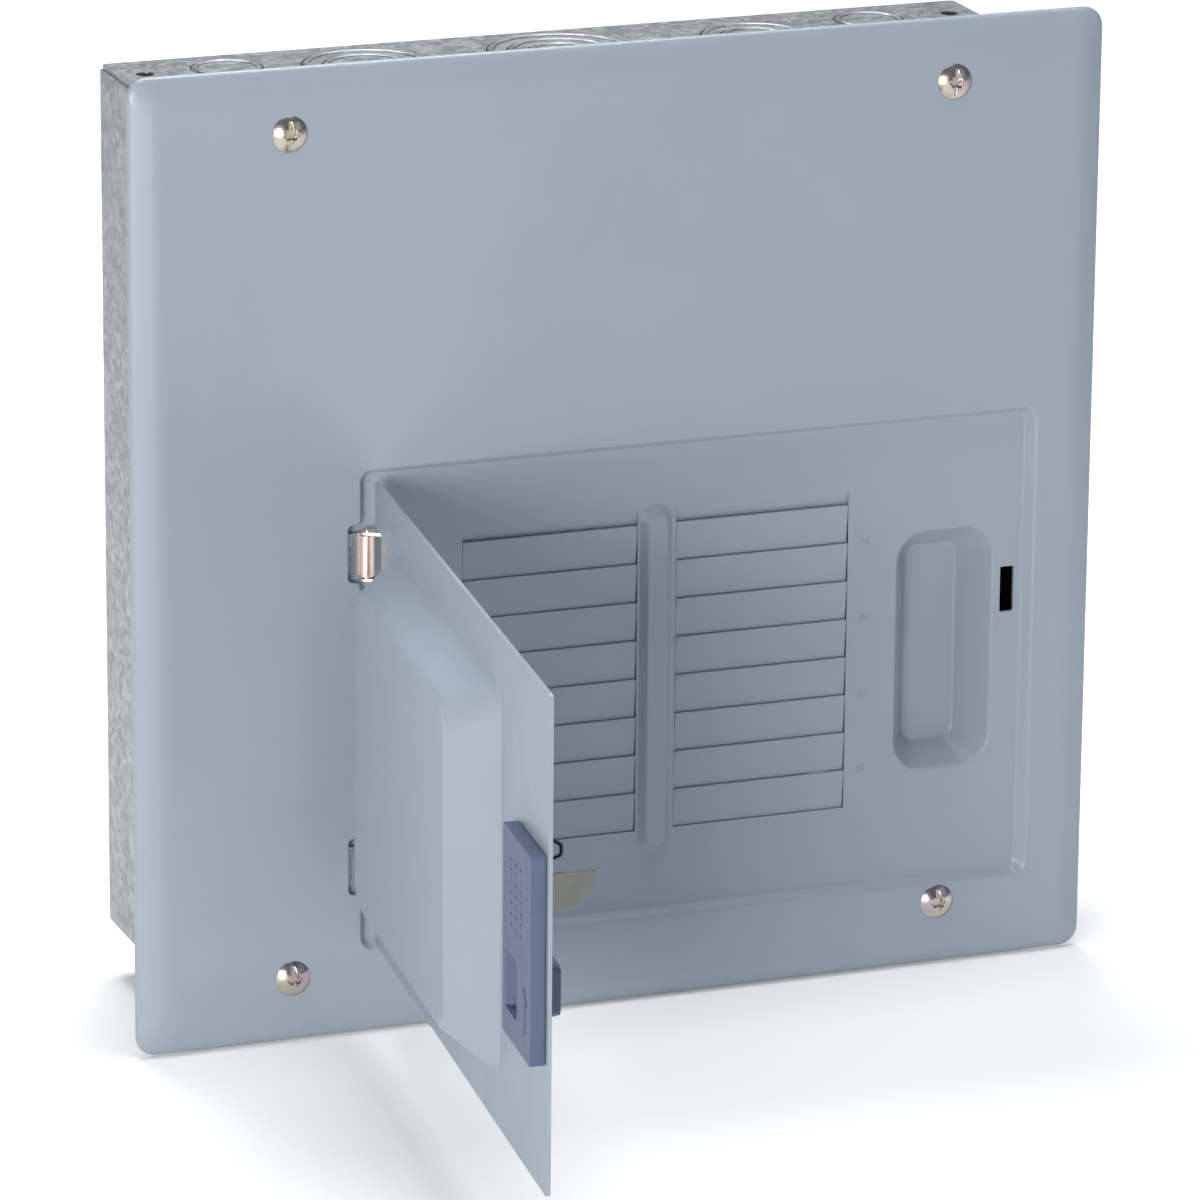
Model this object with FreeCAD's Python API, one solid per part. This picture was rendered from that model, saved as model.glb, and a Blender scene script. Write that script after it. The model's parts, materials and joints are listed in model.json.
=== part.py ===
import FreeCAD, Part
import math
import os

# Subpanel enclosure (small load centre), surface or flush mounted.
# Frame: origin on the wall plane, on the centre line of the front cover.
# +X to the right seen from the front, +Z up, the front faces -Y.
# All lengths in millimetres.

os.makedirs("parts", exist_ok=True)
V = FreeCAD.Vector

# ---------------------------------------------------------------- driving dimensions
SHEET = 1.2            # cover and door sheet
BOX_T = 1.4            # box sheet
BOX_HALF_W = 145.6     # box half width
BOX_TOP = 143.0        # outside of the top end wall
BOX_BOT = -140.0       # outside of the bottom end wall
BOX_R = 2.6            # outer bend radius of the wrapper's back corners
COVER_HALF_W = 161.2
COVER_HALF_H = 157.0
COVER_FRONT = -84.2    # front face of the cover
COVER_RIM = -79.6      # back edge of the cover's rim
BEVEL = 8.4            # width of the perimeter bevel
COVER_BACK = COVER_FRONT + SHEET
BOX_FRONT = COVER_BACK  # the cover's back rests on the box's front edge

FLOOR = -81.0          # recess floor, front side
REC_L, REC_R = -88.0, 140.6      # recess, at the cover's front face
REC_T, REC_B = 28.6, -129.0
RECF_L, RECF_R = -87.2, 137.7    # recess, at its floor
RECF_T, RECF_B = 26.7, -127.0

TW_PITCH = 12.7        # half-inch twistout pitch
TW_TOP = 0.9
TW_ROWS = 8
TW_L0, TW_L1 = -53.4, 5.2
TW_R0, TW_R1 = 18.3, 77.0
TW_GAP = 0.35
TW_DROP = 1.3          # the lower edge of a strip is this much deeper

RIB_X0, RIB_X1 = 6.0, 16.8
RIB_Z0, RIB_Z1 = -108.4, 7.0
RIB_H = 2.3

POCK_X0, POCK_X1, POCK_Z0, POCK_Z1 = 94.3, 127.4, -90.4, -10.4
POCKF_X0, POCKF_X1, POCKF_Z0, POCKF_Z1 = 103.5, 116.8, -84.3, -18.3
POCK_D = 12.0

SLOT_X0, SLOT_X1, SLOT_Z0, SLOT_Z1 = 130.3, 135.1, -40.2, -25.0

SCREWS = [(-110.6, 137.0), (109.2, 137.0), (-110.6, -135.4), (109.2, -135.4)]

HX, HY = -86.5, -86.0  # hinge axis
OPEN = 96.3            # stored door angle, from closed
DOOR_OUT = -83.6       # closed: outer face of the door sheet
DOOR_IN = DOOR_OUT + SHEET
DOOR_L, DOOR_R = -86.3, 136.9
DOOR_T, DOOR_B = 25.6, -126.2
EMB_H = 13.5
EMB = (-61.5, 79.0, -110.0, 10.0)    # x0, x1, z0, z1 of the raised panel's base
EMBP = (-57.0, 65.0, -101.3, 0.8)   # the same, at its flat top
BAR_R = 2.45           # hinge barrel radius
PIN_R = 1.05
HINGES = (1.7, -100.8) # centre heights of the two hinges
BAR_L = 13.4

LATCH = (101.4, 134.8, -86.5, -23.0)  # latch plate, closed
LATCH_T = 4.4
LATCH_GAP = 0.3
TRAVEL = 3.2           # latch lift
CUP = (104.4, 118.6, -78.3, -60.2)   # finger recess mouth

WALL_HOLES = ((-101.6, -114.3), (101.6, 114.3))
WALL_HOLE_R = 3.6

BUS_X = 11.8           # centre line of the breaker columns
BUS_Z0, BUS_Z1 = -108.0, 44.0


# ---------------------------------------------------------------- helpers
def box(x0, x1, y0, y1, z0, z1):
    return Part.makeBox(x1 - x0, y1 - y0, z1 - z0, V(x0, y0, z0))


def rr_wire(x0, x1, z0, z1, r, y):
    """Rounded rectangle in the plane y = const."""
    c = math.cos(math.pi / 4) * r
    e = []
    pts = [
        (V(x0 + r, y, z0), V(x1 - r, y, z0), V(x1 - r + c, y, z0 + r - c), V(x1, y, z0 + r)),
        (V(x1, y, z0 + r), V(x1, y, z1 - r), V(x1 - r + c, y, z1 - r + c), V(x1 - r, y, z1)),
        (V(x1 - r, y, z1), V(x0 + r, y, z1), V(x0 + r - c, y, z1 - r + c), V(x0, y, z1 - r)),
        (V(x0, y, z1 - r), V(x0, y, z0 + r), V(x0 + r - c, y, z0 + r - c), V(x0 + r, y, z0)),
    ]
    for a, b, m, d in pts:
        if (b - a).Length > 1e-6:
            e.append(Part.LineSegment(a, b).toShape())
        e.append(Part.Arc(b, m, d).toShape())
    return Part.Wire(e)


def rr_loft(a, ra, ya, b, rb, yb):
    """Solid between two rounded rectangles a, b = (x0, x1, z0, z1)."""
    return Part.makeLoft([rr_wire(*a, ra, ya), rr_wire(*b, rb, yb)], True, True)


def rr_prism(x0, x1, z0, z1, r, y0, y1):
    f = Part.Face(rr_wire(x0, x1, z0, z1, r, y0))
    return f.extrude(V(0, y1 - y0, 0))


def cyl(r, h, p, d):
    return Part.makeCylinder(r, h, V(*p), V(*d))


def poly(pts, axis_vec):
    """Extrude a closed polygon along axis_vec."""
    w = Part.makePolygon([V(*p) for p in pts] + [V(*pts[0])])
    return Part.Face(w).extrude(V(*axis_vec))


def fuse(*shapes):
    s = shapes[0].multiFuse(list(shapes[1:])) if len(shapes) > 1 else shapes[0]
    return s.removeSplitter()


def cut(s, *tools):
    for t in tools:
        s = s.cut(t)
    return s


def grow(r, d):
    return (r[0] - d, r[1] + d, r[2] - d, r[3] + d)


def solids(s):
    return s.Solids


def save(name, shape):
    ss = shape.Solids if hasattr(shape, "Solids") else shape
    if isinstance(shape, (list, tuple)):
        ss = []
        for s in shape:
            ss += s.Solids
    for s in ss:
        if not s.isValid():
            print("INVALID", name)
    out = ss[0] if len(ss) == 1 else Part.makeCompound(ss)
    out.exportStep("parts/%s.step" % name)
    bb = out.BoundBox
    print("%-26s n=%2d vol=%9.1f  x %.1f..%.1f y %.1f..%.1f z %.1f..%.1f" % (
        name, len(ss), out.Volume, bb.XMin, bb.XMax, bb.YMin, bb.YMax, bb.ZMin, bb.ZMax))
    return out


def to_rest(s):
    """Turn a piece drawn with the door closed to the stored, open pose."""
    s = s.copy()
    s.rotate(V(HX, HY, 0), V(0, 0, 1), -OPEN)
    return s


def fillet_where(s, r, test):
    es = [e for e in s.Edges if test(e)]
    return s.makeFillet(r, es) if es else s


# ---------------------------------------------------------------- box
# wrapper: back wall and both side walls folded from one sheet
xo, yo = BOX_HALF_W, 0.0
outer = box(-xo, xo, BOX_FRONT, 0, BOX_BOT, BOX_TOP)
outer = fillet_where(outer, BOX_R, lambda e: abs(e.BoundBox.YMin) < 1e-6 and abs(e.BoundBox.YMax) < 1e-6
                     and e.BoundBox.ZLength > 100)
inner = box(-xo + BOX_T, xo - BOX_T, BOX_FRONT - 1, -BOX_T, BOX_BOT - 1, BOX_TOP + 1)
inner = fillet_where(inner, BOX_R - BOX_T, lambda e: abs(e.BoundBox.YMin + BOX_T) < 1e-6
                     and abs(e.BoundBox.YMax + BOX_T) < 1e-6 and e.BoundBox.ZLength > 100)
wrapper = outer.cut(inner)
for hx in (WALL_HOLES[0][0], WALL_HOLES[1][0]):
    for hz in (WALL_HOLES[0][1], WALL_HOLES[1][1]):
        wrapper = wrapper.cut(cyl(WALL_HOLE_R, 6, (hx, 2, hz), (0, -1, 0)))
# the end walls sit inside the wrapper, so the wrapper is trimmed back at both ends
wrapper = cut(wrapper,
              box(-xo - 1, xo + 1, BOX_FRONT - 1, 1, BOX_TOP - BOX_T, BOX_TOP + 1),
              box(-xo - 1, xo + 1, BOX_FRONT - 1, 1, BOX_BOT - 1, BOX_BOT + BOX_T))

SEAM = 0.9             # open seam between an end wall and the side walls


def end_wall(z_out, sgn):
    """End wall with a turned-in front flange for the cover screws and welded side tabs."""
    z_in = z_out - sgn * BOX_T
    z0, z1 = min(z_out, z_in), max(z_out, z_in)
    w = box(-xo + 1.1, xo - 1.1, BOX_FRONT, 0, z0, z1)
    w = fillet_where(w, 1.9, lambda e: abs(e.BoundBox.YMin) < 1e-6 and abs(e.BoundBox.YMax) < 1e-6
                     and e.BoundBox.ZLength < 5 and e.BoundBox.ZLength > 1)
    # front flange, turned in behind the cover
    fz0, fz1 = (z_in - 13.0, z_in) if sgn > 0 else (z_in, z_in + 8.2)
    parts = [w]
    for cx in (SCREWS[0][0], SCREWS[1][0]):
        parts.append(box(cx - 16, cx + 16, BOX_FRONT, BOX_FRONT + BOX_T, fz0, fz1))
    # side tabs, turned in along the wrapper's inside
    tz0, tz1 = (z_in - 11.0, z_in) if sgn > 0 else (z_in, z_in + 11.0)
    for sx in (-1, 1):
        xa = sx * (xo - BOX_T)
        xb = sx * (xo - 2 * BOX_T)
        parts.append(box(min(xa, xb), max(xa, xb), -74.0, -8.0, tz0, tz1))
    return fuse(*parts), z0, z1


# knockouts: (x, y, radii from the outside in, half angle of tabs)
KO_TOP = [
    (-109.0, -17.5, (11.6,)),
    (-66.0, -26.5, (20.6, 14.1)),
    (-1.6, -28.0, (23.9, 17.4, 11.1)),
    (64.2, -27.0, (17.4, 11.1)),
    (107.4, -18.0, (11.5,)),
]
KO_BOT = [
    (-109.0, -17.5, (11.1,)),
    (-66.0, -26.5, (17.4, 11.1)),
    (-1.6, -28.0, (23.9, 17.4, 11.1)),
    (64.2, -27.0, (17.4, 11.1)),
    (107.4, -18.0, (11.1,)),
]
KO_GAP = 0.45
TAB_W = 2.4


def knockouts(wall, spec, z0, z1):
    """Cut the wall round each knockout and make its slugs and rings, held by small tabs."""
    slugs = []
    for (kx, ky, radii) in spec:
        wall = wall.cut(cyl(radii[0], z1 - z0 + 2, (kx, ky, z0 - 1), (0, 0, 1)))
        for i, r in enumerate(radii):
            ro = r - KO_GAP
            d = cyl(ro, z1 - z0, (kx, ky, z0), (0, 0, 1))
            # two tabs reach the next ring out, or the wall
            tabs = box(kx - TAB_W / 2, kx + TAB_W / 2, ky - r - 0.3, ky + r + 0.3, z0, z1)
            if i % 2:
                tabs.rotate(V(kx, ky, 0), V(0, 0, 1), 90)
            tabs.rotate(V(kx, ky, 0), V(0, 0, 1), 12 if i == 0 else -8)
            tabs = tabs.common(cyl(r, z1 - z0, (kx, ky, z0), (0, 0, 1)))
            d = d.fuse(tabs)
            if i + 1 < len(radii):
                d = d.cut(cyl(radii[i + 1], z1 - z0 + 2, (kx, ky, z0 - 1), (0, 0, 1)))
            d = d.removeSplitter()
            slugs += d.Solids
    return wall, slugs


top, tz0, tz1 = end_wall(BOX_TOP, 1)
bot, bz0, bz1 = end_wall(BOX_BOT, -1)
for sx in (-135.7, 135.7):
    top = top.cut(cyl(2.9, 6, (sx, -17.5, tz0 - 1), (0, 0, 1)))
    bot = bot.cut(cyl(2.9, 6, (sx, -17.5, bz0 - 1), (0, 0, 1)))
top, top_slugs = knockouts(top, KO_TOP, tz0, tz1)
bot, bot_slugs = knockouts(bot, KO_BOT, bz0, bz1)
SCREW_R = 2.05         # tapped flange hole and screw shank
for i, (sx, sz) in enumerate(SCREWS):
    h = cyl(SCREW_R, 8, (sx, BOX_FRONT - 1, sz), (0, 1, 0))
    if sz > 0:
        top = top.cut(h)
    else:
        bot = bot.cut(h)

# side wall knockouts, centred on the depth, near the top and the bottom
KO_SIDE = [(-42.0, 104.0, (14.1, 11.1)), (-42.0, -100.0, (14.1, 11.1))]
side_slugs = []
for sx in (-1, 1):
    x0, x1 = (-xo, -xo + BOX_T) if sx < 0 else (xo - BOX_T, xo)
    for (ky, kz, radii) in KO_SIDE:
        if sx < 0:
            continue
        wrapper = wrapper.cut(cyl(radii[0], 4, (x0 - 1, ky, kz), (1, 0, 0)))
        for i, r in enumerate(radii):
            d = cyl(r - KO_GAP, BOX_T, (x0, ky, kz), (1, 0, 0))
            tab = box(x0, x1, ky - TAB_W / 2, ky + TAB_W / 2, kz - r - 0.3, kz + r + 0.3)
            if i % 2:
                tab.rotate(V(0, ky, kz), V(1, 0, 0), 90)
            tab = tab.common(cyl(r, BOX_T, (x0, ky, kz), (1, 0, 0)))
            d = d.fuse(tab)
            if i + 1 < len(radii):
                d = d.cut(cyl(radii[i + 1], 4, (x0 - 1, ky, kz), (1, 0, 0)))
            side_slugs += d.removeSplitter().Solids

# ground and neutral bars and the interior pan are fixed to the back wall
GND_X = -122.0
GND_Z = (-62.0, 40.0)
NEU_X = 120.0
NEU_Z = (-70.0, 52.0)
PAN = (-62.0, 88.0, -116.0, 30.0)      # x0, x1, z0, z1 of the interior pan's raised plate
PAN_Y = -14.0                          # front face of the pan's plate
PAN_T = 1.2
PAN_FEET = [(-70.0, -104.0), (-70.0, 18.0), (96.0, -104.0), (96.0, 18.0)]
BACK = -BOX_T                          # inner face of the back wall
GND_MOUNT = [(GND_X, GND_Z[0] + 8), (GND_X, GND_Z[1] - 8)]
NEU_MOUNT = [(NEU_X, NEU_Z[0] + 9), (NEU_X, NEU_Z[1] - 9)]
for (px, pz) in PAN_FEET + GND_MOUNT + NEU_MOUNT:
    wrapper = wrapper.cut(cyl(1.6, 4, (px, 1, pz), (0, -1, 0)))

save("box_wrapper", wrapper)
save("top_end_wall", top)
save("bottom_end_wall", bot)
save("top_knockouts", top_slugs)
save("bottom_knockouts", bot_slugs)
save("side_knockouts", side_slugs)

# ---------------------------------------------------------------- cover
cw, ch = COVER_HALF_W, COVER_HALF_H
full = (-cw, cw, -ch, ch)
front = grow(full, -BEVEL)
shell = rr_loft(front, 5.0, COVER_FRONT, full, 6.5, COVER_RIM - 1.0)
shell = shell.fuse(rr_prism(*full, 6.5, COVER_RIM - 1.0, COVER_RIM))
hollow = rr_loft(grow(front, -0.2), 4.6, COVER_BACK, grow(full, -SHEET), 5.4, COVER_RIM + 0.01)
shell = shell.cut(hollow)

rec_top = (REC_L, REC_R, REC_B, REC_T)
rec_flo = (RECF_L, RECF_R, RECF_B, RECF_T)
rec_cav = rr_loft(rec_top, 4.0, COVER_FRONT - 0.001, rec_flo, 3.0, FLOOR)
rec_met = rr_loft(grow(rec_top, SHEET), 5.0, COVER_BACK, grow(rec_flo, SHEET), 4.0, FLOOR + SHEET)
pk = (POCK_X0, POCK_X1, POCK_Z0, POCK_Z1)
pkf = (POCKF_X0, POCKF_X1, POCKF_Z0, POCKF_Z1)
pk_cav = rr_loft(pk, 10.0, FLOOR - 0.001, pkf, 4.5, FLOOR + POCK_D)
pk_met = rr_loft(grow(pk, 0.9), 10.8, FLOOR, grow(pkf, SHEET), 5.4, FLOOR + POCK_D + SHEET)
cover = shell.fuse(rec_met)
# widened bays of the recess round the two hinges
NOTCH_X = -92.0
bays, bay_metal = [], []
for hz in HINGES:
    b = rr_prism(NOTCH_X, -84.0, hz - 9.3, hz + 9.3, 1.5, COVER_FRONT - 0.5, FLOOR)
    bays.append(b)
    bay_metal.append(rr_prism(NOTCH_X - SHEET, -84.0, hz - 9.3 - SHEET, hz + 9.3 + SHEET, 2.6, COVER_BACK, FLOOR + SHEET))
cover = fuse(cover, *bay_metal)
cover = cut(cover, rec_cav, *bays)
cover = cover.fuse(pk_met).cut(pk_cav)
# raised rib between the two twistout columns, a bead pressed out of the recess floor
rib_out = rr_loft((RIB_X0, RIB_X1, RIB_Z0, RIB_Z1), 5.2, FLOOR + 0.002,
                  (RIB_X0 + 2.4, RIB_X1 - 2.4, RIB_Z0 + 3.0, RIB_Z1 - 3.0), 2.9, FLOOR - RIB_H)
rib_in = rr_loft((RIB_X0 + 0.9, RIB_X1 - 0.9, RIB_Z0 + 0.9, RIB_Z1 - 0.9), 4.3, FLOOR + SHEET + 0.01,
                 (RIB_X0 + 3.1, RIB_X1 - 3.1, RIB_Z0 + 4.0, RIB_Z1 - 4.0), 2.2, FLOOR - RIB_H + SHEET)
cover = cover.fuse(rib_out).cut(rib_in)
TW_BOT = TW_TOP - TW_PITCH * TW_ROWS
win_l = box(TW_L0, TW_L1, FLOOR - 5, FLOOR + 5, TW_BOT, TW_TOP)
win_r = box(TW_R0, TW_R1, FLOOR - 5, FLOOR + 5, TW_BOT, TW_TOP)
slot = box(SLOT_X0, SLOT_X1, FLOOR - 5, FLOOR + 5, SLOT_Z0, SLOT_Z1)
cover = cut(cover, win_l, win_r, slot)
HOLE_R = 2.5           # clearance hole for a cover screw
for (sx, sz) in SCREWS:
    cover = cover.cut(cyl(HOLE_R, 8, (sx, COVER_FRONT - 1, sz), (0, 1, 0)))
# hinge leaf slits through the wall of each bay
leaf_cut = []
for hz in HINGES:
    leaf_cut.append(box(-106.0, -90.6, COVER_BACK, COVER_BACK + 0.8, hz - BAR_L / 2, hz + BAR_L / 2))
cover = cut(cover, *leaf_cut)
cover = cover.removeSplitter()
save("cover", cover)


# ---------------------------------------------------------------- twistouts
def strip(x0, x1, k):
    """One break-out strip: its upper edge is level with the recess floor and its lower edge sits deeper."""
    z1 = TW_TOP - TW_PITCH * k - (0.0 if k == 0 else TW_GAP / 2)
    z0 = TW_TOP - TW_PITCH * (k + 1) + (0.0 if k == TW_ROWS - 1 else TW_GAP / 2)
    a, b = FLOOR - 0.25, FLOOR - 0.25 + TW_DROP
    z1 -= 0.15
    z0 += 0.15
    s = poly([(x0 + TW_GAP, a, z1), (x0 + TW_GAP, b, z0), (x0 + TW_GAP, b + 1.1, z0), (x0 + TW_GAP, a + 1.1, z1)],
             (x1 - x0 - 2 * TW_GAP, 0, 0))
    # holding tabs at both ends, in the upper half
    zt = z1 - 3.2
    ya = a + (z1 - zt) / (z1 - z0) * (b - a)
    tabs = [box(x0, x0 + 2 * TW_GAP, ya + 0.1, ya + 0.9, zt - 1.2, zt + 1.2),
            box(x1 - 2 * TW_GAP, x1, ya + 0.1, ya + 0.9, zt - 1.2, zt + 1.2)]
    return fuse(s, *tabs)


save("twistouts_left", [strip(TW_L0, TW_L1, k) for k in range(TW_ROWS)])
save("twistouts_right", [strip(TW_R0, TW_R1, k) for k in range(TW_ROWS)])


# ---------------------------------------------------------------- cover screws
def cover_screw(sx, sz):
    """Truss-head screw with a combination recess."""
    head = Part.makeSphere(8.6, V(0, 0, 0))
    head.translate(V(sx, COVER_FRONT - 2.6 + 8.6, sz))
    head = head.common(cyl(5.75, 4, (sx, COVER_FRONT - 4, sz), (0, 1, 0)))
    shank = cyl(SCREW_R - 0.01, 12.5, (sx, COVER_FRONT - 0.5, sz), (0, 1, 0))
    tip = Part.makeCone(SCREW_R - 0.01, 0.6, 2.5, V(sx, COVER_FRONT + 12.0, sz), V(0, 1, 0))
    s = fuse(head, shank, tip)
    sl = box(sx - 4.2, sx + 4.2, COVER_FRONT - 4, COVER_FRONT - 1.3, sz - 0.55, sz + 0.55)
    sl2 = box(sx - 0.55, sx + 0.55, COVER_FRONT - 4, COVER_FRONT - 1.3, sz - 2.3, sz + 2.3)
    return s.cut(sl).cut(sl2)


save("cover_screws", [cover_screw(*p) for p in SCREWS])

# ---------------------------------------------------------------- door
door_rect = (DOOR_L, DOOR_R, DOOR_B, DOOR_T)
panel = rr_prism(*door_rect, 1.8, DOOR_OUT, DOOR_IN)
emb_out = rr_loft(EMB, 7.0, DOOR_OUT + 0.01, EMBP, 4.0, DOOR_OUT - EMB_H)
emb_in = rr_loft(grow(EMB, -1.0), 6.0, DOOR_IN + 0.01, grow(EMBP, -0.5), 3.5, DOOR_OUT - EMB_H + SHEET)
panel = panel.fuse(emb_out).cut(emb_in)
for hz in HINGES:
    panel = panel.cut(rr_prism(DOOR_L - 5, -77.6, hz - 8.9, hz + 8.9, 1.2, DOOR_OUT - 1, DOOR_IN + 1))
# windows for the latch: one for the finger cup, one for the upper post
WIN = (102.2, 120.9, -80.2, -55.3)
POST = (117.5, -38.0)  # upper post of the latch, x and z
panel = panel.cut(rr_prism(*WIN, 1.5, DOOR_OUT - 1, DOOR_IN + 1))
panel = panel.cut(rr_prism(POST[0] - 3.6, POST[0] + 3.6, POST[1] - 3.6, POST[1] + 3.6 + TRAVEL, 3.5, DOOR_OUT - 1, DOOR_IN + 1))
door_rivet_x = -73.5
for hz in HINGES:
    for dz in (-4.2, 4.2):
        panel = panel.cut(cyl(1.5, 6, (door_rivet_x, DOOR_OUT - 2, hz + dz), (0, 1, 0)))
panel = panel.removeSplitter()
save("door_panel", to_rest(panel))

# ---------------------------------------------------------------- hinges
for tag, hz in (("upper", HINGES[0]), ("lower", HINGES[1])):
    z0, z1 = hz - BAR_L / 2, hz + BAR_L / 2
    roll = cyl(BAR_R, BAR_L, (HX, HY, z0), (0, 0, 1))
    arm = box(-91.4, HX, HY + BAR_R - 0.8, HY + BAR_R, z0, z1)
    step = box(-91.4, -90.6, HY + BAR_R - 0.8, COVER_BACK + 0.8, z0, z1)
    leaf = box(-106.0, -90.6, COVER_BACK, COVER_BACK + 0.8, z0, z1)
    c_leaf = fuse(roll, arm, step, leaf).cut(cyl(PIN_R, BAR_L + 2, (HX, HY, z0 - 1), (0, 0, 1)))
    save("hinge_leaf_cover_" + tag, c_leaf)
    # door leaf: a plate behind the door sheet with an ear past each end of the barrel
    EAR = 1.0
    GAPZ = 0.3
    e0, e1 = z0 - GAPZ - EAR, z1 + GAPZ + EAR
    plate = box(-84.0, -66.5, DOOR_IN, DOOR_IN + 0.8, e0, e1)
    ears = []
    for a, b in ((e0, e0 + EAR), (e1 - EAR, e1)):
        disc = cyl(BAR_R, EAR, (HX, HY, a), (0, 0, 1))
        web = poly([(HX - 0.4, HY + 2.3, a), (HX + 2.3, HY - 0.6, a), (-82.0, DOOR_IN, a), (-82.0, DOOR_IN + 0.8, a),
                    (-84.0, DOOR_IN + 0.8, a)], (0, 0, EAR))
        ears.append(disc.fuse(web).cut(cyl(PIN_R + 0.05, EAR + 2, (HX, HY, a - 1), (0, 0, 1))))
    d_leaf = fuse(plate, *ears)
    for dz in (-4.2, 4.2):
        d_leaf = d_leaf.cut(cyl(1.5, 6, (door_rivet_x, DOOR_OUT - 2, hz + dz), (0, 1, 0)))
    save("hinge_leaf_door_" + tag, to_rest(d_leaf))
    save("hinge_pin_" + tag, cyl(PIN_R, BAR_L + 2 * (GAPZ + EAR) + 0.6, (HX, HY, e0 - 0.3), (0, 0, 1)))

# flush rivets through the door sheet and the hinge leaves
rv = []
for hz in HINGES:
    for dz in (-4.2, 4.2):
        rv.append(cyl(1.5, SHEET + 0.8, (door_rivet_x, DOOR_OUT, hz + dz), (0, 1, 0)))
save("door_hinge_rivets", [to_rest(r) for r in rv])

# ---------------------------------------------------------------- latch
# drawn with the door closed; the plate stands in front of the door sheet
lx0, lx1, lz0, lz1 = LATCH
ly1 = DOOR_OUT - LATCH_GAP           # back of the plate
ly0 = ly1 - LATCH_T                  # front of the plate
plate = rr_prism(lx0, lx1, lz0, lz1, 0.8, ly0, ly1)
# finger cup, tapering through the door into the cover's pocket
cup_m = CUP
cup_f = (CUP[0] + 3.2, CUP[1] - 1.0, CUP[2] + 1.5, CUP[3] - 3.5)
CUP_END = -74.4                      # floor of the cup, front side
BOLT_Y0, BOLT_Y1 = DOOR_IN + 0.3, DOOR_IN + 1.1
cup_out = rr_loft(grow(cup_m, 1.2), 2.2, ly0 + 1.0, grow(cup_f, 1.2), 2.2, CUP_END + 1.2)
cup_in = rr_loft(cup_m, 1.2, ly0 - 0.001, cup_f, 1.0, CUP_END)
plate = plate.fuse(cup_out).cut(cup_in)
post = cyl(3.2, BOLT_Y0 - ly1 + 0.5, (POST[0], ly1 - 0.5, POST[1]), (0, 1, 0))
plate = plate.fuse(post)
# grip ledge across the bottom of the cup's mouth and a raised up-arrow beside it
arrow = poly([(125.2, ly0 + 0.2, -78.6), (128.6, ly0 + 0.2, -78.6), (128.6, ly0 + 0.2, -69.8), (130.8, ly0 + 0.2, -69.8),
              (126.9, ly0 + 0.2, -64.6), (123.0, ly0 + 0.2, -69.8), (125.2, ly0 + 0.2, -69.8)], (0, -0.55, 0))
plate = plate.fuse(arrow)
rivet_hole_r = 1.25
plate = plate.cut(cyl(rivet_hole_r, 4.5, (POST[0], BOLT_Y0 + 0.01, POST[1]), (0, -1, 0)))
plate = plate.removeSplitter()
save("latch_plate", to_rest(plate))

# steel bolt behind the door, with the tongue turned in at its free edge
TG_X0, TG_X1 = 132.1, 133.2
TG_TOP = -28.9
TG_BOT = TG_TOP - 10.7
bolt = rr_prism(99.6, TG_X1, TG_BOT - 0.4, -29.4, 1.0, BOLT_Y0, BOLT_Y1)
bolt = bolt.fuse(rr_prism(99.6, 126.6, -83.6, -29.4, 1.0, BOLT_Y0, BOLT_Y1))
tongue_pts = [(TG_X0, BOLT_Y0, TG_TOP)]
n_arc = 14
TG_LEN = 13.2
wire_pts = [V(TG_X0, BOLT_Y0, TG_TOP), V(TG_X0, BOLT_Y0 + TG_LEN, TG_TOP)]
arc_mid = V(TG_X0, BOLT_Y0 + 2.6 + (TG_LEN - 2.6) * 0.72, TG_TOP - 10.7 * 0.70)
p_end = V(TG_X0, BOLT_Y0 + 2.6, TG_BOT)
edges = [Part.LineSegment(wire_pts[0], wire_pts[1]).toShape(),
         Part.Arc(wire_pts[1], arc_mid, p_end).toShape(),
         Part.LineSegment(p_end, V(TG_X0, BOLT_Y0, TG_BOT)).toShape(),
         Part.LineSegment(V(TG_X0, BOLT_Y0, TG_BOT), wire_pts[0]).toShape()]
tongue = Part.Face(Part.Wire(edges)).extrude(V(TG_X1 - TG_X0, 0, 0))
bolt = bolt.fuse(tongue)
neck = rr_loft(grow(cup_m, 1.2), 2.2, ly0 + 1.0, grow(cup_f, 1.2), 2.2, CUP_END + 1.2)
bolt = bolt.cut(neck)
bolt = bolt.cut(cyl(rivet_hole_r, 4, (POST[0], BOLT_Y0 - 1, POST[1]), (0, 1, 0)))
bolt = bolt.removeSplitter()
save("latch_bolt", to_rest(bolt))

rivet = fuse(cyl(rivet_hole_r, 4.5 + (BOLT_Y1 - BOLT_Y0), (POST[0], BOLT_Y0 - 4.49, POST[1]), (0, 1, 0)),
             rr_loft((POST[0] - 2.6, POST[0] + 2.6, POST[1] - 2.6, POST[1] + 2.6), 2.5, BOLT_Y1,
                     (POST[0] - 1.6, POST[0] + 1.6, POST[1] - 1.6, POST[1] + 1.6), 1.5, BOLT_Y1 + 1.1))
save("latch_rivet", to_rest(rivet))

# spring retainer pressed onto the cup behind the bolt
ret = rr_prism(102.6, 121.6, -82.3, -55.3, 2.0, BOLT_Y1, BOLT_Y1 + 1.4).cut(neck)
save("latch_retainer", to_rest(ret))

# wire loop spring: from a lanced hook in the door down to the top of the bolt
SPR_X = 121.2
SW = 0.55
sp = [(DOOR_IN + 1.9, -18.6), (DOOR_IN + 1.9, -21.6), (DOOR_IN + 6.4, -24.6), (DOOR_IN + 6.4, -27.6), (DOOR_IN + 1.7, -29.2)]


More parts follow.
